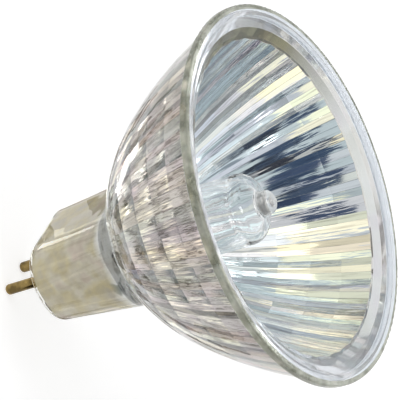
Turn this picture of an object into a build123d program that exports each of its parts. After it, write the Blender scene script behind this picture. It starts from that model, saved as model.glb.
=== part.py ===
"""Halogen reflector bulb: a fluted glass reflector with a quartz capsule and two contact pins.

The origin is the middle of the neck's rear face, between the pins. +Z runs along the axis to
the open front, the pins point down, and they stand side by side along X.
"""
from build123d import *
from math import cos, isclose, pi, radians, sin, sqrt
import os

# Overall sizes (millimetres)
RIM_RADIUS = 25.0
BASE_DEPTH = 22.4           # rim's front to the back of the bowl
NECK_LENGTH = 14.4          # back of the bowl to the neck's rear face

# Rim
FLANGE_THICKNESS = 1.1      # the band round the outside of the rim
RIM_ROUND = 0.3             # rounding of the band's two edges
LIP_WIDTH = 1.5             # flat ring at the very front
LIP_STEP = 0.9              # depth from the lip down to the ledge
LEDGE_WIDTH = 1.3           # flat ring inside the lip
BEVEL_WIDTH = 1.0           # cone from the ledge down to the facets, seen from the front
BEVEL_DEPTH = 0.7

# Bowl: outside and inside are two ellipses with one centre in front of the bulb
ELLIPSE_AHEAD = 38.6        # their centre, ahead of the rim's front
FLANGE_STEP = 0.75          # how far the rim's band stands out from the bowl
BASE_RADIUS = 10.35         # outside of the bowl at its back
BASE_ROUND = 0.8            # rounding where the bowl turns into its back
FACET_LAND = 0.3            # flat land between the bevel and the facets
FLOOR_RADIUS = 10.57        # inside of the bowl at its flat floor
FLOOR_THICKNESS = 3.6       # floor to the back of the bowl
WALL_SPANS = 8              # spans of the curve that draws the outside

# Facets: long flutes in rings, each flute of three flats
FLUTES = 40
FLATS = 3
FACET_RINGS = 5
LAST_RING = 0.62            # length of the last ring, cut short by the floor, to the others
FLUTE_RISE = 0.17           # how far a flute stands into the bowl at the front
FLUTE_START = -3.0          # where a flute begins, in degrees from the pins

# Neck
NECK_WIDTH = 17.4           # along the pins
NECK_FRONT_THICKNESS = 13.9
NECK_REAR_THICKNESS = 10.9
NECK_CORNER = 4.9
NECK_WALL = 1.4
NECK_REAR_ROUND = 0.7
NECK_ROOF = 3.0             # glass between the back of the bowl and the neck's hollow
HOLE_CLEARANCE = 0.9        # round hole into the neck, clear of the capsule all round

# Cement
CEMENT_RECESS = 0.3         # cement's back, inside the neck's rear face

# Quartz capsule
CAPSULE_RADIUS = 4.7
CAPSULE_WALL = 1.0
CAPSULE_TIP_DEPTH = 3.6     # rim's front to the end of the tip
TIP_RADIUS = 1.65
TIP_LENGTH = 1.6
TIP_ROUND = 1.0             # rounding of the tip's end
TIP_BLEND = 0.5             # blend between the tip and the dome
CROWN_RADIUS = 7.0          # crowned ends of the bulb
KNUCKLE = 2.2               # rounding from the bulb's side into its crowned ends
CAPSULE_SINK = 2.2          # back of the bulb, behind the bowl's floor
PINCH_WIDTH = 9.0
PINCH_THICKNESS = 3.2
PINCH_ROUND = 0.6
PINCH_TAIL = 3.6            # quartz beyond the ends of the foils

# Wires, foils and pins
PIN_SPACING = 5.33
PIN_RADIUS = 0.725
PIN_LENGTH = 7.8            # length outside the neck
PIN_GAP = 1.4               # pinch's end down to the pin's end in the cement
PIN_HEAD_RADIUS = 1.0       # thicker root that the cement grips
PIN_TIP_ROUND = 0.4
LEAD_RADIUS = 0.3
LEAD_IN_PIN = 3.0
FOIL_WIDTH = 1.8
FOIL_THICKNESS = 0.12
FOIL_LENGTH = 6.0
FOIL_BELOW_BULB = 0.6       # back of the bulb down to the foils
WIRE_RADIUS = 0.13
COIL_RADIUS = 0.6
COIL_LENGTH = 3.4
COIL_TURNS = 7
COIL_DEPTH = 15.4           # rim's front to the coil
LEG_BEND = 0.35             # bend from the coil's last turn down into a leg

SAME_RADIUS = 0.001         # two radii this close are one


def ellipse_radius(depth, front, back):
    """Radius at a depth of the ellipse through a front and a back (depth, radius)."""
    (front_depth, front_radius), (back_depth, back_radius) = front, back
    start = (ELLIPSE_AHEAD + front_depth) ** 2
    end = (ELLIPSE_AHEAD + back_depth) ** 2
    share = ((ELLIPSE_AHEAD + depth) ** 2 - start) / (end - start)
    return sqrt(front_radius ** 2 + share * (back_radius ** 2 - front_radius ** 2))


def outer_radius(depth):
    front = (FLANGE_THICKNESS, RIM_RADIUS - FLANGE_STEP)
    return ellipse_radius(depth, front, (BASE_DEPTH, BASE_RADIUS))


def inner_radius(depth):
    front = (FACET_START, BEVEL_RADIUS - FACET_LAND)
    return ellipse_radius(depth, front, (FLOOR_DEPTH, FLOOR_RADIUS))


def level(depth):
    """Height of a depth measured back from the rim's front."""
    return BODY_LENGTH - depth


def flute_section(depth):
    """Closed outline of the fluted hollow at one depth, with a few flats to each flute."""
    valley = inner_radius(depth)
    ridge = valley * (1 - FLUTE_RISE / inner_radius(FACET_START))
    points = []
    for i in range(FLATS * FLUTES):
        r = valley if i % FLATS == 0 else ridge
        turn = radians(FLUTE_START) + i * 2 * pi / (FLATS * FLUTES)
        points.append((r * cos(turn), r * sin(turn)))
    return Plane.XY.offset(level(depth)) * make_face(Polyline(*points, close=True))


def neck_section(height, inset):
    """Rounded oblong of the neck at a height, drawn in by a wall."""
    share = height / NECK_LENGTH
    thickness = NECK_REAR_THICKNESS + share * (NECK_FRONT_THICKNESS - NECK_REAR_THICKNESS)
    size = (NECK_WIDTH - 2 * inset, thickness - 2 * inset)
    return Plane.XY.offset(height) * RectangleRounded(*size, NECK_CORNER - inset)


def upright(radius, low, high):
    """Cylinder on the axis between two heights."""
    return Pos(0, 0, low) * Cylinder(radius, high - low, align=(Align.CENTER, Align.CENTER, Align.MIN))


def corners(section, radius):
    """Corners of a half section at one radius, from the lowest up."""
    return section.vertices().filter_by(lambda v: isclose(v.X, radius, abs_tol=SAME_RADIUS)).sort_by(Axis.Y)


def bulb_section(inset):
    """Half section of the capsule's bulb, crowned at both ends, drawn in by a wall."""
    radius = CAPSULE_RADIUS - inset
    crown = CROWN_RADIUS - inset
    sag = crown - sqrt(crown ** 2 - radius ** 2)
    front = CROWN_TOP - inset
    back = CAPSULE_BACK + inset
    front_arc = RadiusArc((0, front), (radius, front - sag), crown)
    back_arc = RadiusArc((radius, back + sag), (0, back), crown)
    sides = [Line(front_arc @ 1, back_arc @ 0), Line(back_arc @ 1, front_arc @ 0)]
    section = make_face(front_arc + back_arc + sides)
    return fillet(corners(section, radius), KNUCKLE - inset)


def circles(solid, radius):
    """Round edges of one radius."""
    edges = solid.edges().filter_by(GeomType.CIRCLE)
    return edges.filter_by(lambda e: isclose(e.radius, radius, abs_tol=SAME_RADIUS))


# Depths, heights and radii that several pieces share
BODY_LENGTH = NECK_LENGTH + BASE_DEPTH
FACET_START = LIP_STEP + BEVEL_DEPTH
FLOOR_DEPTH = BASE_DEPTH - FLOOR_THICKNESS
LIP_RADIUS = RIM_RADIUS - LIP_WIDTH
LEDGE_RADIUS = LIP_RADIUS - LEDGE_WIDTH
BEVEL_RADIUS = LEDGE_RADIUS - BEVEL_WIDTH
NECK_ROOF_HEIGHT = NECK_LENGTH - NECK_ROOF
TIP_TOP = level(CAPSULE_TIP_DEPTH)
CROWN_TOP = TIP_TOP - TIP_LENGTH
CAPSULE_BACK = level(FLOOR_DEPTH + CAPSULE_SINK)
CAPSULE_FLOOR = CAPSULE_BACK + CAPSULE_WALL
FOIL_TOP = CAPSULE_BACK - FOIL_BELOW_BULB
FOIL_END = FOIL_TOP - FOIL_LENGTH
PINCH_END = FOIL_END - PINCH_TAIL
PIN_ROOT = PINCH_END - PIN_GAP
PIN_X = PIN_SPACING / 2

# Reflector outside: a turned bowl with a banded rim, and the neck behind it
span = (BASE_DEPTH - FLANGE_THICKNESS) / WALL_SPANS
wall_depths = [FLANGE_THICKNESS + t * span for t in range(WALL_SPANS + 1)]
wall = [(outer_radius(d), level(d)) for d in wall_depths]
flange_back = (RIM_RADIUS, level(FLANGE_THICKNESS))
flange_front = (RIM_RADIUS, BODY_LENGTH)
outline = Polyline(wall[0], flange_back, flange_front, (0, BODY_LENGTH), (0, NECK_LENGTH), wall[-1])
bowl = revolve(Plane.XZ * make_face(outline + Spline(*wall)), Axis.Z)
bowl = fillet(circles(bowl, RIM_RADIUS), RIM_ROUND)
bowl = fillet(circles(bowl, BASE_RADIUS), BASE_ROUND)
neck = loft([neck_section(0, 0), neck_section(NECK_LENGTH + BASE_ROUND, 0)], ruled=True)
neck = fillet(neck.faces().sort_by(Axis.Z)[0].edges(), NECK_REAR_ROUND)

# Reflector inside: stepped rim, fluted hollow, hole in the floor and the neck's hollow
rim_step = upright(LIP_RADIUS, level(LIP_STEP), BODY_LENGTH)
bevel = Pos(0, 0, level(LIP_STEP) - BEVEL_DEPTH / 2) * Cone(BEVEL_RADIUS, LEDGE_RADIUS, BEVEL_DEPTH)
ring_height = (FLOOR_DEPTH - FACET_START) / (FACET_RINGS - 1 + LAST_RING)
ring_depths = [FACET_START + k * ring_height for k in range(FACET_RINGS)] + [FLOOR_DEPTH]
flutes = loft([flute_section(d) for d in ring_depths], ruled=True)
hole = upright(CAPSULE_RADIUS + HOLE_CLEARANCE, NECK_ROOF_HEIGHT, level(FLOOR_DEPTH))
neck_hollow = loft([neck_section(0, NECK_WALL), neck_section(NECK_ROOF_HEIGHT, NECK_WALL)], ruled=True)
reflector = bowl + neck - rim_step - bevel - flutes - hole - neck_hollow

# Filament: a coil across the axis, whose ends bend down into two straight legs
coil_centre = Pos(-COIL_LENGTH / 2, 0, level(COIL_DEPTH)) * Rot(0, 90, 0)
coil_path = coil_centre * Helix(COIL_LENGTH / COIL_TURNS, COIL_LENGTH, COIL_RADIUS)
coil_end = coil_path @ 0
coil_heading = coil_path % 0
wire_section = Plane(coil_end, z_dir=coil_heading) * Circle(WIRE_RADIUS)
coil = sweep(wire_section, path=coil_path, is_frenet=True)
bend_centre = coil_end - Vector(0, 0, LEG_BEND)
bend_middle = bend_centre + (Vector(0, 0, 1) - coil_heading) * (LEG_BEND * sqrt(0.5))
leg_top = bend_centre - coil_heading * LEG_BEND
bend = sweep(wire_section, path=ThreePointArc(coil_end, bend_middle, leg_top))
leg = Pos(leg_top.X, leg_top.Y, 0) * upright(WIRE_RADIUS, FOIL_TOP, leg_top.Z)
half_turn = Rot(0, 0, 180)
filament = coil + bend + leg + half_turn * bend + half_turn * leg

# Foils and leads: a foil stands on the end of its lead and carries the end of its leg
foil_x = (leg_top.X - PIN_X) / 2
foil_y = leg_top.Y
lead_y = foil_y + LEAD_RADIUS - FOIL_THICKNESS
foil_left = Pos(foil_x, foil_y, (FOIL_TOP + FOIL_END) / 2) * Box(FOIL_WIDTH, FOIL_THICKNESS, FOIL_LENGTH)
foil_right = half_turn * foil_left
lead_left = Pos(-PIN_X, lead_y, 0) * upright(LEAD_RADIUS, PIN_ROOT - LEAD_IN_PIN, FOIL_END)
lead_right = half_turn * lead_left

# Contact pins: round ends outside, and a thicker root with a blind hole crimped on the lead
shank = upright(PIN_RADIUS, -PIN_LENGTH, PIN_ROOT)
shank = fillet(circles(shank, PIN_RADIUS).group_by(Axis.Z)[0], PIN_TIP_ROUND)
root = upright(PIN_HEAD_RADIUS, CEMENT_RECESS, PIN_ROOT)
pin_left = Pos(-PIN_X, 0, 0) * (shank + root) - lead_left
pin_right = half_turn * pin_left

# Quartz capsule: a hollow bulb with its sealed tip, and a flat pinch round the foils
tip = Pos(0, CAPSULE_FLOOR) * Rectangle(TIP_RADIUS, TIP_TOP - CAPSULE_FLOOR, align=Align.MIN)
section = bulb_section(0) + tip
section = fillet(corners(section, TIP_RADIUS)[-1], TIP_ROUND)
section = fillet(corners(section, TIP_RADIUS)[0], TIP_BLEND)
bulb = revolve(Plane.XZ * section, Axis.Z)
bulb_hollow = revolve(Plane.XZ * bulb_section(CAPSULE_WALL), Axis.Z)
pinch_section = RectangleRounded(PINCH_WIDTH, PINCH_THICKNESS, PINCH_ROUND)
pinch = extrude(Plane.XY.offset(PINCH_END) * pinch_section, CAPSULE_FLOOR + KNUCKLE - PINCH_END)
capsule_outside = bulb + pinch
wires = [leg, half_turn * leg, foil_left, foil_right, lead_left, lead_right]
capsule = capsule_outside - bulb_hollow - wires

# Cement: fills the neck's hollow round the pinch, the leads and the roots of the pins
cement_ends = [neck_section(height, NECK_WALL) for height in (CEMENT_RECESS, NECK_ROOF_HEIGHT)]
cement = loft(cement_ends, ruled=True)
cement -= [capsule_outside, lead_left, lead_right, pin_left, pin_right]

nodes = {
    "reflector_glass": reflector,
    "neck_cement": cement,
    "quartz_capsule": capsule,
    "filament": filament,
    "foil_left": foil_left,
    "foil_right": foil_right,
    "lead_left": lead_left,
    "lead_right": lead_right,
    "pin_left": pin_left,
    "pin_right": pin_right,
}
os.makedirs("parts", exist_ok=True)
for name, solid in nodes.items():
    export_step(solid, f"parts/{name}.step")
    print(f"{name}: {solid.volume:.2f} cubic millimetres")
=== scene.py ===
# %% [markdown]
# # A halogen reflector bulb
#
# The bulb is a pressed glass bowl with a long neck. A mirror film lies on the fluted facets inside
# the bowl, a quartz capsule with a coil sits on the axis, cement fills the neck, and two pins
# carry the current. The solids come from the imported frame, so this lesson is mostly about
# finishes: how one glass body can be clear on its outside and a mirror on its inside.

# %% Load the frame
import math

import bmesh
import bpy
from mathutils import Matrix, Vector


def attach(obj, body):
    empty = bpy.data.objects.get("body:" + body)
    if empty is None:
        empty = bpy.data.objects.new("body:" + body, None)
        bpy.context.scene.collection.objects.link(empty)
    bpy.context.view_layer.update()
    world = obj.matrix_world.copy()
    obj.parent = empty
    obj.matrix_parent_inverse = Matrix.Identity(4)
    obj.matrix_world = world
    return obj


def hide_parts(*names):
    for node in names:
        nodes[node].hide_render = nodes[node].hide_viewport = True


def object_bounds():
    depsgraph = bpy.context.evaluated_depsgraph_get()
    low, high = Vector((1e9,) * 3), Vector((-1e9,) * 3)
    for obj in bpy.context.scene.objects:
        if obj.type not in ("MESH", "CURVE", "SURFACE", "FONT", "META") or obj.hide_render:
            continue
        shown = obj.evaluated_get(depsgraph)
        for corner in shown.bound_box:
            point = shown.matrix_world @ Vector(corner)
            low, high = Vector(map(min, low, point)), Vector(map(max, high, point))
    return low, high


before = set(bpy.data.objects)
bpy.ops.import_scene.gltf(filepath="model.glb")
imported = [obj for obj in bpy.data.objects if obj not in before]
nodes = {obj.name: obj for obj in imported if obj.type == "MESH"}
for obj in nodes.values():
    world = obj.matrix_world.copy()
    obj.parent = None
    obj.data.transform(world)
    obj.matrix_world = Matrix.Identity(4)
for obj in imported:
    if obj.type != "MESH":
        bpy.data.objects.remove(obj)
cad_low, cad_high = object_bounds()
MM = 0.001
print("pieces in the frame:", sorted(nodes))

# %% [markdown]
# ## Small helpers for shader nodes
#
# A procedural finish is a little sum made of nodes. Written out, each node takes three or four
# lines, which hides the sum. These helpers make a node, feed its inputs from numbers or from
# other nodes, and hand back its output, so that a finish reads from top to bottom.

# %% Node helpers


def feed(tree, socket, value):
    """Set a socket from a number or colour, or link it to another node's output."""
    if isinstance(value, bpy.types.NodeSocket):
        tree.links.new(value, socket)
    else:
        socket.default_value = value


def sum_node(tree, operation, first, second=0.0):
    """One step of arithmetic."""
    node = tree.nodes.new("ShaderNodeMath")
    node.operation = operation
    feed(tree, node.inputs[0], first)
    feed(tree, node.inputs[1], second)
    return node.outputs[0]


def spread(tree, value, low, high, to_low, to_high):
    """Carry a value from one range to another."""
    node = tree.nodes.new("ShaderNodeMapRange")
    for socket, number in zip(node.inputs, (value, low, high, to_low, to_high)):
        feed(tree, socket, number)
    return node.outputs[0]


def blend_colours(tree, share, first, second):
    """Mix two colours by a share from 0 to 1."""
    node = tree.nodes.new("ShaderNodeMix")
    node.data_type = "RGBA"
    feed(tree, node.inputs["Factor"], share)
    feed(tree, node.inputs[6], first)
    feed(tree, node.inputs[7], second)
    return node.outputs[2]


def steps_of_colour(tree, value, stops, smooth=False):
    """Pick a colour by a value, from (position, colour) stops."""
    node = tree.nodes.new("ShaderNodeValToRGB")
    ramp = node.color_ramp
    ramp.interpolation = "LINEAR" if smooth else "CONSTANT"
    while len(ramp.elements) < len(stops):
        ramp.elements.new(1.0)
    for element, (position, colour) in zip(ramp.elements, stops):
        element.position = position
        element.color = colour
    feed(tree, node.inputs[0], value)
    return node.outputs[0]


def noise(tree, scale, detail=2.0, vector=None):
    """A soft random value over the surface."""
    node = tree.nodes.new("ShaderNodeTexNoise")
    node.inputs["Scale"].default_value = scale
    node.inputs["Detail"].default_value = detail
    where = vector or tree.nodes.new("ShaderNodeTexCoord").outputs["Object"]
    tree.links.new(where, node.inputs["Vector"])
    return node.outputs[0]


def bump_up(tree, shader, height, distance):
    """Tilt a shader's surface by a height, as fine relief does."""
    bump = tree.nodes.new("ShaderNodeBump")
    bump.inputs["Distance"].default_value = distance
    feed(tree, bump.inputs["Height"], height)
    feed(tree, shader.inputs["Normal"], bump.outputs[0])


def new_finish(name):
    """A material with one empty Principled shader."""
    material = bpy.data.materials.new(name)
    material.use_nodes = True
    return material, material.node_tree, material.node_tree.nodes["Principled BSDF"]


def dress(piece, material):
    """Give a piece one material in place of its own."""
    piece.data.materials.clear()
    piece.data.materials.append(material)


print("helpers ready")

# %% [markdown]
# ## Where a point is on the bulb
#
# The facets are laid out round the axis, so the finish needs a point's radius, its depth behind
# the rim's front and its turn round the axis. All three come from Object coordinates, which stay
# with the mesh. They are turned into millimetres, because the bowl's sizes are known in those.

# %% Bulb coordinates


def bulb_place(tree):
    """Radius and depth in millimetres, and the turn round the axis from -0.5 to 0.5."""
    where = tree.nodes.new("ShaderNodeTexCoord").outputs["Object"]
    parts = tree.nodes.new("ShaderNodeSeparateXYZ")
    tree.links.new(where, parts.inputs[0])
    x, y, z = parts.outputs
    squares = [sum_node(tree, "MULTIPLY", value, value) for value in (x, y)]
    radius = sum_node(tree, "DIVIDE", sum_node(tree, "SQRT", sum_node(tree, "ADD", *squares)), MM)
    depth = sum_node(tree, "DIVIDE", sum_node(tree, "SUBTRACT", cad_high.z, z), MM)
    turn = sum_node(tree, "DIVIDE", sum_node(tree, "ARCTAN2", y, x), 2 * math.pi)
    return radius, depth, turn


print("rim's front at", round(cad_high.z / MM, 2), "mm")

# %% [markdown]
# ## Mirror film inside clear glass
#
# On the real bulb the film lies only inside the bowl. From the front it is a mirror, and seen
# from behind it shines through the glass wall. One shader does both: a mask that is 1 on the
# film and 0 elsewhere turns glass into metal there. The wall's middle line is an ellipse, and
# whatever lies inside it between the bevel and the floor is film.

# %% Where the film lies
ELLIPSE_AHEAD = 38.6
WALL_FRONT = (1.35, 22.6)
WALL_BACK = (21.3, 9.65)
FACET_START = 1.6
FLOOR_DEPTH = 18.8
EDGE = 0.05


def film_mask(tree, radius, depth):
    """1 on the facets and the bowl's floor, 0 on bare glass."""
    squared = sum_node(tree, "POWER", sum_node(tree, "ADD", depth, ELLIPSE_AHEAD), 2.0)
    front, back = [(ELLIPSE_AHEAD + d) ** 2 for d, r in (WALL_FRONT, WALL_BACK)]
    middle = tree.nodes.new("ShaderNodeMapRange")
    middle.clamp = False
    ends = (squared, front, back, WALL_FRONT[1] ** 2, WALL_BACK[1] ** 2)
    for socket, number in zip(middle.inputs, ends):
        feed(tree, socket, number)
    inside = sum_node(tree, "LESS_THAN", sum_node(tree, "POWER", radius, 2.0), middle.outputs[0])
    behind_bevel = sum_node(tree, "GREATER_THAN", depth, FACET_START + EDGE / 2)
    before_floor = sum_node(tree, "LESS_THAN", depth, FLOOR_DEPTH + EDGE)
    along = sum_node(tree, "MULTIPLY", behind_bevel, before_floor)
    return sum_node(tree, "MULTIPLY", inside, along)


print("film from", FACET_START, "to", FLOOR_DEPTH, "mm behind the rim")

# %% [markdown]
# ## A tint and a tilt for each facet
#
# Each flat of each flute was pressed by its own spot of the mould, and the film on it is a little
# thicker or thinner than on the next. So every flat has its own tint and leans its own way, all
# down the flute, and each facet along it is a little lighter or darker. White noise fed with the
# number of the flat, or of the flat and the ring, gives these random values, and DRAW picks one
# set of them. Fine dark streaks drawn out along the flutes are painted reflections, and dark lines
# at some edges of the flats are painted shade at the creases. The lean, the hollow of each facet
# and the ripple of the glass go into a bump, in millimetres of height, because they are far too
# fine for the mesh. Leans are slopes and have no unit.

# %% Facet by facet
FLUTES = 40
FLATS = 3
RING_HEIGHT = 3.723
SIDE_LEAN = 0.06
LENGTH_LEAN = 0.03
RIPPLE = 0.06
SAG = 0.04
DRAW = 10.0
# Dark lines at some edges of the flats: painted shade at the creases.
CREASE_SHADE_SHARE = 0.06
CREASE_SHADE_STRENGTH = 0.6
CREASE_SHADE_TINT = (0.20, 0.21, 0.24, 1)

FILM_TINTS = [
    (0.00, (0.85, 0.91, 0.93, 1)),
    (0.22, (0.91, 0.91, 0.94, 1)),
    (0.40, (0.80, 0.86, 0.88, 1)),
    (0.54, (0.97, 0.95, 0.89, 1)),
    (0.68, (0.74, 0.75, 0.80, 1)),
    (0.78, (0.93, 0.88, 0.89, 1)),
    (0.86, (0.73, 0.70, 0.67, 1)),
    (0.93, (0.98, 0.98, 0.96, 1)),
]
FACET_LIGHT = [(0.00, 0.74), (0.05, 0.90), (0.22, 0.95), (0.50, 1.00)]
# Dark streaks along the flutes: painted reflections.
PAINTED_DARK_STREAKS = [
    (0.30, (1.00, 1.00, 0.98, 1)),
    (0.48, (0.97, 0.97, 0.97, 1)),
    (0.60, (0.90, 0.90, 0.90, 1)),
    (0.72, (0.58, 0.56, 0.56, 1)),
]
STREAK_GRAIN = {"fineness": 2.3, "length": 8.0, "detail": 3.0}
RIPPLE_GRAIN = {"fineness": 1.3, "length": 6.0, "detail": 2.0}

print(FLUTES * FLATS, "flats in each ring,", len(FILM_TINTS), "tints of film")

# %% Random values of a facet


def facet_cells(tree, depth, turn):
    """Numbers of a point's flat and ring, and its places across and along them from 0 to 1."""
    across = sum_node(tree, "MULTIPLY", turn, FLUTES * FLATS)
    along = sum_node(tree, "DIVIDE", sum_node(tree, "SUBTRACT", depth, FACET_START), RING_HEIGHT)
    numbers = [sum_node(tree, "FLOOR", value) for value in (across, along)]
    places = [sum_node(tree, "FRACT", value) for value in (across, along)]
    return numbers, places, across


def random_values(tree, first, second=0.0):
    """Three random values for each pair of numbers."""
    cell = tree.nodes.new("ShaderNodeCombineXYZ")
    feed(tree, cell.inputs[0], first)
    feed(tree, cell.inputs[1], second)
    feed(tree, cell.inputs[2], DRAW)
    luck = tree.nodes.new("ShaderNodeTexWhiteNoise")
    tree.links.new(cell.outputs[0], luck.inputs["Vector"])
    parts = tree.nodes.new("ShaderNodeSeparateColor")
    tree.links.new(luck.outputs["Color"], parts.inputs[0])
    return parts.outputs


print("facets numbered by flat and ring")

# %% Tint and height of a facet


def multiply_colours(tree, first, second):
    """One colour darkened by another."""
    node = tree.nodes.new("ShaderNodeMix")
    node.data_type = "RGBA"
    node.blend_type = "MULTIPLY"
    node.inputs["Factor"].default_value = 1.0
    feed(tree, node.inputs[6], first)
    feed(tree, node.inputs[7], second)
    return node.outputs[2]


def streaks(tree, across, depth, fineness, length, detail):
    """Noise drawn out along the flutes, over a length in millimetres."""
    grain = tree.nodes.new("ShaderNodeCombineXYZ")
    feed(tree, grain.inputs[0], sum_node(tree, "MULTIPLY", across, fineness))
    feed(tree, grain.inputs[1], sum_node(tree, "DIVIDE", depth, length))
    return noise(tree, 1.0, detail, grain.outputs[0])


def film_tint(tree, flat_luck, facet_luck, places, across, depth):
    """A tint per flat, a lightness per facet, painted dark reflections and painted crease shade."""
    tint = steps_of_colour(tree, flat_luck[0], FILM_TINTS)
    greys = [(position, (value, value, value, 1)) for position, value in FACET_LIGHT]
    tint = multiply_colours(tree, tint, steps_of_colour(tree, facet_luck[0], greys))
    # Painted reflections: dark streaks drawn out along the flutes.
    painted_reflection_streaks = streaks(tree, across, depth, **STREAK_GRAIN)
    tint = multiply_colours(tree, tint, steps_of_colour(tree, painted_reflection_streaks, PAINTED_DARK_STREAKS, smooth=True))
    # Painted shade: dark lines at some edges of the flats.
    from_middle = sum_node(tree, "ABSOLUTE", sum_node(tree, "SUBTRACT", places[0], 0.5))
    at_edge = sum_node(tree, "GREATER_THAN", from_middle, 0.5 - CREASE_SHADE_SHARE)
    crease_shade = sum_node(tree, "MULTIPLY", at_edge, spread(tree, facet_luck[1], 0.4, 1.0, 0.0, CREASE_SHADE_STRENGTH))
    return blend_colours(tree, crease_shade, tint, CREASE_SHADE_TINT)


def film_height(tree, places, lean, across, depth, radius):
    """Height in millimetres that leans each flat, hollows each facet and ripples the flute."""
    flat_width = sum_node(tree, "MULTIPLY", radius, 2 * math.pi / (FLUTES * FLATS))
    side_slope = spread(tree, lean[0], 0.0, 1.0, -SIDE_LEAN, SIDE_LEAN)
    sideways = sum_node(tree, "MULTIPLY", sum_node(tree, "MULTIPLY", places[0], flat_width), side_slope)
    length_slope = spread(tree, lean[1], 0.0, 1.0, -LENGTH_LEAN, LENGTH_LEAN)
    lengthways = sum_node(tree, "MULTIPLY", depth, length_slope)
    from_end = sum_node(tree, "MULTIPLY", places[1], sum_node(tree, "SUBTRACT", 1.0, places[1]))
    hollow = sum_node(tree, "MULTIPLY", from_end, -4 * SAG)
    ripple = sum_node(tree, "MULTIPLY", streaks(tree, across, depth, **RIPPLE_GRAIN), RIPPLE)
    leaning = sum_node(tree, "ADD", sideways, lengthways)
    return sum_node(tree, "ADD", leaning, sum_node(tree, "ADD", hollow, ripple))


print("hollow of a facet:", SAG, "mm")

# %% [markdown]
# ## Reflector
#
# The bare glass isn't one colour either, and radius and depth tell its places apart. The bowl's
# wall looks pinkish or olive by turns where stray film tints it, and the neck is clear. The rim
# was ground after pressing, so it scatters light like frosted glass, and a part of the shader's
# transmission is taken away there. Its lip is pale. Its band is mottled olive, painted dark as
# shade from outside, but seen through the glass from inside it is clear, which Backfacing tells
# apart. The bevel is pale, with painted shade in dark olive that fades out from one side of the
# ring. Pressed glass is a little wavy, which a low bump shows.

# %% Places on the rim
BAND_DEPTH = 1.4
BAND_RADIUS = 24.3
BEVEL_DEPTHS = (0.93, FACET_START + 0.02)
BEVEL_RADII = (20.8, 22.3)


def both(tree, first, second):
    """One value where the other is 1, and 0 where it is 0."""
    return sum_node(tree, "MULTIPLY", first, second)


def between(tree, value, limits):
    """1 where a value lies between two limits."""
    above = sum_node(tree, "GREATER_THAN", value, limits[0])
    return both(tree, above, sum_node(tree, "LESS_THAN", value, limits[1]))


def rim_places(tree, radius, depth):
    """Masks of the rim's front, of its band and of its bevel."""
    front = sum_node(tree, "LESS_THAN", depth, FACET_START - EDGE)
    shallow = sum_node(tree, "LESS_THAN", depth, BAND_DEPTH)
    band = both(tree, shallow, sum_node(tree, "GREATER_THAN", radius, BAND_RADIUS))
    bevel = both(tree, between(tree, depth, BEVEL_DEPTHS), between(tree, radius, BEVEL_RADII))
    return front, band, bevel


print("bevel from", BEVEL_DEPTHS[0], "to", BEVEL_DEPTHS[1], "mm behind the rim's front")

# %% Colours of the bare glass
WALL_GRAIN = 160.0
WALL_TINTS = [
    (0.36, (0.60, 0.51, 0.51, 1)),
    (0.50, (0.64, 0.60, 0.53, 1)),
    (0.64, (0.54, 0.50, 0.41, 1)),
]
NECK_FADE = (18.0, 21.0)
NECK_TINT = (0.95, 0.95, 0.92, 1)
LIP_TINT = (0.91, 0.95, 1.0, 1)
BAND_GRAIN = 450.0
# Dark olive on the band from outside: painted shade over its mottle.
BAND_SHADE_TINTS = [(0.35, (0.17, 0.18, 0.11, 1)), (0.65, (0.56, 0.57, 0.45, 1))]
BEVEL_TINT = (0.70, 0.78, 0.84, 1)
# Dark olive on one side of the bevel: painted shade.
BEVEL_SHADE_TINT = (0.09, 0.09, 0.04, 1)
BEVEL_SHADED_SIDE = 60 / 360
BEVEL_SHADE_FADE = (0.35, 0.9)


def bevel_tint(tree, turn):
    """Pale glass, with painted dark olive shade that fades out from one side of the ring."""
    # Painted shade that fades out from one side of the bevel's ring.
    from_side = sum_node(tree, "MULTIPLY", sum_node(tree, "SUBTRACT", turn, BEVEL_SHADED_SIDE), 2 * math.pi)
    bevel_shade = spread(tree, sum_node(tree, "COSINE", from_side), *BEVEL_SHADE_FADE, 0.0, 1.0)
    return blend_colours(tree, bevel_shade, BEVEL_TINT, BEVEL_SHADE_TINT)


def band_tint(tree):
    """Mottled olive, painted dark as shade from outside, and clear from inside the glass."""
    # Painted shade: a dark olive mottle on the band, seen from outside.
    band_shade = steps_of_colour(tree, noise(tree, BAND_GRAIN, 4.0), BAND_SHADE_TINTS, smooth=True)
    from_inside = tree.nodes.new("ShaderNodeNewGeometry").outputs["Backfacing"]
    return blend_colours(tree, from_inside, band_shade, LIP_TINT)


def glass_tint(tree, depth, turn, front, band, bevel):
    """Colour of the wall, the neck and the rim."""
    wall = steps_of_colour(tree, noise(tree, WALL_GRAIN), WALL_TINTS, smooth=True)
    glass = blend_colours(tree, spread(tree, depth, *NECK_FADE, 0.0, 1.0), wall, NECK_TINT)
    glass = blend_colours(tree, front, glass, LIP_TINT)
    glass = blend_colours(tree, bevel, glass, bevel_tint(tree, turn))
    return blend_colours(tree, band, glass, band_tint(tree))


print("glass tints:", len(WALL_TINTS), "on the wall,", len(BAND_SHADE_TINTS), "on the band")

# %% Reflector finish
LIP_GROUND, BAND_GROUND = 0.15, 0.30
LIP_MATT, BAND_MATT = 0.09, 0.15
GLASS_ROUGH, FILM_ROUGH = 0.03, 0.08
GLASS_IOR = 1.5


def rim_share(tree, front, band, lip_share, band_share):
    """A value for the rim's front, and another that is added on the band."""
    return sum_node(tree, "ADD", both(tree, front, lip_share), both(tree, band, band_share))


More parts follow.
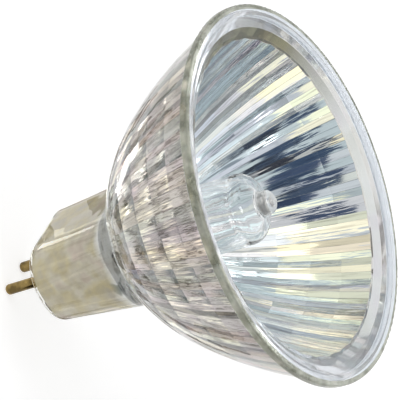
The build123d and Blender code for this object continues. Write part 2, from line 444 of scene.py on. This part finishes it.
reflector_finish, tree, shader = new_finish("reflector_glass_and_film")
radius, depth, turn = bulb_place(tree)
mask = film_mask(tree, radius, depth)
front, band, bevel = rim_places(tree, radius, depth)
glass = glass_tint(tree, depth, turn, front, band, bevel)
numbers, places, across = facet_cells(tree, depth, turn)
flat_luck = random_values(tree, numbers[0])
facet_luck = random_values(tree, numbers[0], numbers[1])
film = film_tint(tree, flat_luck, facet_luck, places, across, depth)
feed(tree, shader.inputs["Base Color"], blend_colours(tree, mask, glass, film))
feed(tree, shader.inputs["Metallic"], mask)
ground = rim_share(tree, front, band, LIP_GROUND, BAND_GROUND)
clear = sum_node(tree, "SUBTRACT", 1.0, sum_node(tree, "MAXIMUM", mask, ground))
feed(tree, shader.inputs["Transmission Weight"], clear)
matt = rim_share(tree, front, band, LIP_MATT, BAND_MATT)
rough = sum_node(tree, "ADD", matt, spread(tree, mask, 0.0, 1.0, GLASS_ROUGH, FILM_ROUGH))
feed(tree, shader.inputs["Roughness"], rough)
shader.inputs["IOR"].default_value = GLASS_IOR
dress(nodes["reflector_glass"], reflector_finish)
print("reflector finish:", len(tree.nodes), "nodes")

# %% Reflector relief
WAVE_GRAIN = 280.0
WAVES = 0.07

facets = both(tree, mask, film_height(tree, places, flat_luck[1:3], across, depth, radius))
bare = sum_node(tree, "SUBTRACT", 1.0, mask)
waves = both(tree, bare, spread(tree, noise(tree, WAVE_GRAIN, 1.0), 0.0, 1.0, 0.0, WAVES))
bump_up(tree, shader, sum_node(tree, "ADD", facets, waves), MM)
print("reflector with its relief:", len(tree.nodes), "nodes")

# %% [markdown]
# ## Quartz capsule
#
# The capsule is clear quartz, blown thin and drawn into a tip. It is a plain glass shader. Blown
# quartz is never quite even, so a low bump and a faint change of roughness break up the lights
# in it. The tip was melted shut. There it lets less light through and shows milky white, a painted
# highlight in place of the bright glints of the tip.

# %% Quartz
QUARTZ_TINT = (0.97, 0.98, 0.98, 1)
QUARTZ_IOR = 1.46
QUARTZ_WAVES = 0.16 * MM
WAVE_SPOTS = 330.0
MATT_SPOTS = 400.0
TIP_DEPTHS = (5.0, 5.8)
# A milky white tip: a painted highlight in place of the tip's bright glints.
TIP_HIGHLIGHT = 0.35

quartz_finish, tree, shader = new_finish("clear_quartz")
shader.inputs["Base Color"].default_value = QUARTZ_TINT
shader.inputs["IOR"].default_value = QUARTZ_IOR
radius, depth, turn = bulb_place(tree)
# Painted highlight: the tip lets less light through and shows white.
tip_highlight = spread(tree, depth, *TIP_DEPTHS, TIP_HIGHLIGHT, 0.0)
feed(tree, shader.inputs["Transmission Weight"], sum_node(tree, "SUBTRACT", 1.0, tip_highlight))
feed(tree, shader.inputs["Roughness"], spread(tree, noise(tree, MATT_SPOTS), 0.3, 0.7, 0.0, 0.03))
bump_up(tree, shader, noise(tree, WAVE_SPOTS, 0.0), QUARTZ_WAVES)
dress(nodes["quartz_capsule"], quartz_finish)
print("quartz finish:", len(tree.nodes), "nodes")

# %% [markdown]
# ## Cement in the neck
#
# The cement wets the glass. In the solids the two faces lie exactly on each other, and a light
# ray can't tell which it meets first. A copy of the cement that is a hair thicker reaches into
# the glass instead, so the glass shows cement behind it with no gap of air. Its colour is patchy
# and speckled with grit. Its top, next to the bowl, lies in the bowl's shade, and there it is
# painted pale, mottled with grey: painted light.

# %% Cement
CEMENT_BITE = 0.06 * MM
CEMENT_TINTS = [
    (0.34, (0.69, 0.58, 0.52, 1)),
    (0.47, (0.70, 0.66, 0.55, 1)),
    (0.58, (0.66, 0.59, 0.38, 1)),
    (0.70, (0.55, 0.51, 0.43, 1)),
]
GRIT_TINT = (0.42, 0.36, 0.27, 1)
# Pale tints on the top of the cement: painted light in the bowl's shade.
TOP_LIGHT_TINTS = [
    (0.34, (0.30, 0.33, 0.33, 1)),
    (0.46, (0.94, 0.96, 0.97, 1)),
    (0.62, (0.98, 0.99, 1.0, 1)),
]
TOP_LIGHT_DEPTHS = (23.6, 24.8)
TOP_LIGHT_UNEVEN = 3.0


def thicker_copy(node, name, amount):
    """A merged copy of a solid, grown outwards along its own normals."""
    shape = bmesh.new()
    shape.from_mesh(nodes[node].data)
    bmesh.ops.remove_doubles(shape, verts=shape.verts, dist=1e-7)
    bmesh.ops.recalc_face_normals(shape, faces=shape.faces)
    shape.normal_update()
    for vert in shape.verts:
        vert.co += vert.normal * amount * vert.calc_shell_factor()
    mesh = bpy.data.meshes.new(name)
    shape.to_mesh(mesh)
    shape.free()
    piece = bpy.data.objects.new(name, mesh)
    bpy.context.collection.objects.link(piece)
    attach(piece, "root")
    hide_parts(node)
    return piece


cement = thicker_copy("neck_cement", "cement_filling", CEMENT_BITE)
print("cement:", len(cement.data.polygons), "faces")

# %% Cement finish
GRIT_GRAIN = 900.0
PATCH_GRAIN = 260.0
TOP_LIGHT_GRAIN = 500.0

cement_finish, tree, shader = new_finish("neck_cement")
grain = noise(tree, GRIT_GRAIN, 6.0)
patches = noise(tree, PATCH_GRAIN, 3.0)
body = steps_of_colour(tree, patches, CEMENT_TINTS, smooth=True)
speckle = spread(tree, grain, 0.35, 0.6, 0.35, 0.0)
body = blend_colours(tree, speckle, body, GRIT_TINT)
radius, depth, turn = bulb_place(tree)
# Painted light: the cement turns pale near its top, next to the bowl.
level = sum_node(tree, "SUBTRACT", depth, sum_node(tree, "MULTIPLY", patches, TOP_LIGHT_UNEVEN))
top_light_share = spread(tree, level, *TOP_LIGHT_DEPTHS, 1.0, 0.0)
pale = steps_of_colour(tree, noise(tree, TOP_LIGHT_GRAIN, 3.0), TOP_LIGHT_TINTS, smooth=True)
feed(tree, shader.inputs["Base Color"], blend_colours(tree, top_light_share, body, pale))
feed(tree, shader.inputs["Roughness"], spread(tree, grain, 0.3, 0.7, 0.75, 0.95))
dress(cement, cement_finish)
print("cement finish:", len(tree.nodes), "nodes")

# %% [markdown]
# ## Metal parts
#
# The pins are bare brass that has gone brown with handling. The wires and foils are grey drawn
# metal. Both vary a little in colour and roughness along the piece.

# %% Pins and wires
METAL_GRAIN = 700.0


def metal_finish(name, dark, light, smooth, rough):
    """Metal that varies between two colours and two roughnesses."""
    material, tree, shader = new_finish(name)
    patch = noise(tree, METAL_GRAIN, 4.0)
    tint = steps_of_colour(tree, patch, [(0.35, dark), (0.65, light)], smooth=True)
    feed(tree, shader.inputs["Base Color"], tint)
    feed(tree, shader.inputs["Roughness"], spread(tree, patch, 0.3, 0.7, smooth, rough))
    shader.inputs["Metallic"].default_value = 1.0
    return material


METALS = [
    ("aged_brass", (0.14, 0.10, 0.04, 1), (0.42, 0.30, 0.11, 1), 0.16, 0.26,
     ["pin_left", "pin_right"]),
    ("tungsten_wire", (0.42, 0.42, 0.43, 1), (0.62, 0.62, 0.63, 1), 0.3, 0.5,
     ["filament"]),
    ("grey_lead_wire", (0.40, 0.40, 0.41, 1), (0.58, 0.58, 0.59, 1), 0.3, 0.45,
     ["foil_left", "foil_right", "lead_left", "lead_right"]),
]
for *look, pieces in METALS:
    finish = metal_finish(*look)
    for piece in pieces:
        dress(nodes[piece], finish)
    print(finish.name, "on", pieces)

# %% [markdown]
# ## Studio
#
# Mirrors and clear glass look like what surrounds them. A white floor and an even white sky give
# the pale surroundings of a studio, and two soft lamps add direction. The camera, mirrors and
# glass see floor and sky as plain white. Matt surfaces get a lower level of light from them, at
# which a colour looks about as it is written, and the floor keeps the bulb's shadow.

# %% Floor and sky
FLOOR_SIZE = 6.0
FLOOR_GREY = (0.6, 0.6, 0.6, 1)
FLOOR_GLOW = 0.6
SKY_LIGHT = 0.6
FLOOR_LEVEL = cad_low.z


def sheet_of(name, width, height, centre, towards):
    """A flat rectangle at a place, facing a point."""
    shape = bmesh.new()
    bmesh.ops.create_grid(shape, x_segments=1, y_segments=1, size=0.5)
    turn = (Vector(towards) - Vector(centre)).to_track_quat("Z", "Y").to_matrix().to_4x4()
    place = Matrix.Translation(centre) @ turn @ Matrix.Diagonal((width, height, 1, 1))
    bmesh.ops.transform(shape, matrix=place, verts=shape.verts)
    mesh = bpy.data.meshes.new(name)
    shape.to_mesh(mesh)
    shape.free()
    sheet = bpy.data.objects.new(name, mesh)
    bpy.context.collection.objects.link(sheet)
    return sheet


def background_rays(tree):
    """1 for rays from the camera, from mirrors and through glass, and 0 for other light."""
    path = tree.nodes.new("ShaderNodeLightPath").outputs
    bent = sum_node(tree, "MAXIMUM", path["Is Glossy Ray"], path["Is Transmission Ray"])
    return sum_node(tree, "MAXIMUM", path["Is Camera Ray"], bent)


floor = sheet_of("floor", FLOOR_SIZE, FLOOR_SIZE, (0, 0, FLOOR_LEVEL), (0, 0, 1))
floor_finish, tree, shader = new_finish("white_floor")
shader.inputs["Base Color"].default_value = FLOOR_GREY
shader.inputs["Roughness"].default_value = 0.9
shader.inputs["Specular IOR Level"].default_value = 0.0
shader.inputs["Emission Color"].default_value = (1, 1, 1, 1)
glow = sum_node(tree, "MULTIPLY", background_rays(tree), FLOOR_GLOW)
feed(tree, shader.inputs["Emission Strength"], glow)
dress(floor, floor_finish)

world = bpy.data.worlds.new("studio_sky")
bpy.context.scene.world = world
world.use_nodes = True
tree = world.node_tree
sky = tree.nodes["Background"]
sky.inputs["Color"].default_value = (1, 1, 1, 1)
feed(tree, sky.inputs["Strength"], spread(tree, background_rays(tree), 0.0, 1.0, SKY_LIGHT, 1.0))
print("floor at", round(FLOOR_LEVEL / MM, 2), "mm")

# %% Lamps


def soft_lamp(name, place, size, watts):
    """A square area lamp aimed at the bulb."""
    lamp = bpy.data.lights.new(name, "AREA")
    lamp.size = size
    lamp.energy = watts
    lamp_object = bpy.data.objects.new(name, lamp)
    lamp_object.location = place
    lamp_object.rotation_euler = (-Vector(place)).to_track_quat("-Z", "Y").to_euler()
    bpy.context.collection.objects.link(lamp_object)
    return lamp_object


soft_lamp("key_lamp", (0.1, 0.5, 0.6), 0.4, 1.4)
soft_lamp("fill_lamp", (-0.6, -0.3, 0.5), 0.4, 1.2)
print("lamps:", len(bpy.data.lights))

# %% [markdown]
# ## Cards and strips that the mirrors see
#
# A photographer of mirrors and glass works with cards: whatever the facets should show stands
# just outside the picture. Large grey cards calm the inside of the bowl, narrow dark ones give
# the dark facets, and warm and pale ones the bright facets beside them. The outer wall mostly
# mirrors the floor near the bulb, so short strips lie there for its glints and dark dashes. Only
# mirrors and glass see them. The camera and the matt surfaces don't, and they throw no shadow.

# %% Making cards
STRIP_LIFT = 0.2 * MM


def light_card(sheet, colour):
    """An even colour that no lamp changes, hidden from the camera and from matt surfaces."""
    material, tree, shader = new_finish(sheet.name)
    shader.inputs["Base Color"].default_value = (0, 0, 0, 1)
    shader.inputs["Specular IOR Level"].default_value = 0.0
    shader.inputs["Emission Color"].default_value = colour
    shader.inputs["Emission Strength"].default_value = 1.0
    dress(sheet, material)
    sheet.visible_camera = False
    sheet.visible_diffuse = False
    sheet.visible_shadow = False


def card(name, colour, azimuth, elevation, width, height, distance=0.5):
    """A card in a direction from the bulb, facing it, which only mirrors see."""
    a, e = math.radians(azimuth), math.radians(elevation)
    centre = Vector((math.cos(a) * math.cos(e), math.sin(a) * math.cos(e), math.sin(e))) * distance
    sheet = sheet_of(name, width, height, centre, (0, 0, 0))
    sheet.visible_transmission = False
    light_card(sheet, colour)


def floor_strip(name, colour, azimuth, distance, width, length):
    """A strip that lies on the floor and points at the bulb, with lengths in millimetres."""
    a = math.radians(azimuth)
    far = distance * MM
    centre = Vector((math.cos(a) * far, math.sin(a) * far, FLOOR_LEVEL + STRIP_LIFT))
    strip = sheet_of(name, length * MM, width * MM, (0, 0, 0), (0, 0, 1))
    strip.data.transform(Matrix.Translation(centre) @ Matrix.Rotation(a, 4, "Z"))
    light_card(strip, colour)


print("strips lie", STRIP_LIFT / MM, "mm above the floor")

# %% Cards
DARK_CARD = (0.055, 0.085, 0.15, 1)
DARK_CARD_HEIGHT = 0.12
DARK_CARDS = [
    (121, 31, 0.04), (138, 27, 0.05), (149, 29, 0.06), (158, 28, 0.085),
    (168, 31, 0.08), (178, 30, 0.085), (188, 33, 0.06), (194, 24, 0.06),
]

card("grey_card", (0.66, 0.72, 0.74, 1), 155, 40, 2.4, 0.9, 0.6)
card("grey_card_left", (0.57, 0.64, 0.66, 1), 55, 52, 0.8, 0.6, 0.6)
card("grey_card_right", (0.86, 0.92, 0.96, 1), 245, 42, 0.7, 0.4, 0.6)
for azimuth, elevation, width in DARK_CARDS:
    card(f"dark_card_{azimuth}", DARK_CARD, azimuth, elevation, width, DARK_CARD_HEIGHT)
card("darker_card", (0.025, 0.035, 0.06, 1), 198, 35, 0.12, 0.14, 0.48)
card("dim_card", (0.27, 0.31, 0.36, 1), 207, 44, 0.14, 0.12, 0.47)
card("overhead_card", (9.0, 9.0, 9.0, 1), 155, 76, 0.14, 0.10)
card("pale_card", (1.10, 1.16, 1.16, 1), 106, 44, 0.30, 0.13, 0.47)
card("warm_card_near", (1.25, 1.20, 0.90, 1), 116, 25, 0.13, 0.17, 0.48)
card("warm_card_left", (0.92, 0.89, 0.70, 1), 88, 16, 0.36, 0.24)
card("warm_card_high", (1.75, 1.68, 1.25, 1), 97, 30, 0.20, 0.09, 0.46)
card("warm_card_right", (1.28, 1.25, 0.93, 1), 220, 12, 0.40, 0.12)
print("dark cards:", len(DARK_CARDS))

# %% Floor strips
STRIPS = 24
STRIP_STEP = 360 // STRIPS
BRIGHT_STRIP = (2.2, 2.15, 1.9, 1)
DARK_STRIP = (0.22, 0.20, 0.17, 1)
OUTER_STRIP = (0.16, 0.14, 0.12, 1)
PIN_STRIP = (0.10, 0.09, 0.07, 1)

for place in range(STRIPS):
    azimuth = place * STRIP_STEP
    colour = BRIGHT_STRIP if place % 3 == 0 else DARK_STRIP
    floor_strip(f"floor_strip_{place}", colour, azimuth, 18 + place * 7 % 19, 3, 15)
    floor_strip(f"outer_strip_{place}", OUTER_STRIP, azimuth + 7, 34 + place * 5 % 9, 2, 12)
floor_strip("bright_strip", (5.0, 5.0, 4.8, 1), 70, 20, 5, 14)
for azimuth in (35, 95, 215, 275):
    floor_strip(f"pin_strip_{azimuth}", PIN_STRIP, azimuth, 11, 8, 8)
print("two rings of", STRIPS, "strips on the floor")

# %% [markdown]
# ## Camera
#
# The camera was worked out from the photograph: the rim's ellipse gives its tilt and the scale,
# and the pins give the turn of the bulb about its own axis. Its position is found by undoing
# those turns about the rim's centre. Light takes many turns between facets and glass, so the
# scene allows more bounces than usual.

# %% Camera
TILT, ROLL, SPIN = 60.20, 17.07, 25.22
DISTANCE = 400 * MM
SHIFT_X, SHIFT_Y = 12.276 * MM, 0.844 * MM
FOCAL_PIXELS = 3165.3
PICTURE_WIDTH = 400

turned = (
    Matrix.Rotation(math.radians(ROLL), 3, "Z")
    @ Matrix.Rotation(math.radians(TILT), 3, "Y")
    @ Matrix.Rotation(math.radians(SPIN), 3, "Z")
).transposed()
camera_data = bpy.data.cameras.new("camera")
camera_data.sensor_width = 36.0
camera_data.lens = FOCAL_PIXELS * camera_data.sensor_width / PICTURE_WIDTH
camera_data.clip_start = 0.01
camera = bpy.data.objects.new("camera", camera_data)
bpy.context.collection.objects.link(camera)
place = turned @ Vector((-SHIFT_X, -SHIFT_Y, DISTANCE)) + Vector((0, 0, cad_high.z))
camera.matrix_world = Matrix.Translation(place) @ turned.to_4x4()
bpy.context.scene.camera = camera
bpy.context.scene.view_settings.view_transform = "Standard"
bpy.context.scene.cycles.max_bounces = 32
bpy.context.scene.cycles.glossy_bounces = 24
bpy.context.scene.cycles.transmission_bounces = 24
print("camera at", [round(v, 3) for v in place], "lens", round(camera_data.lens, 1))
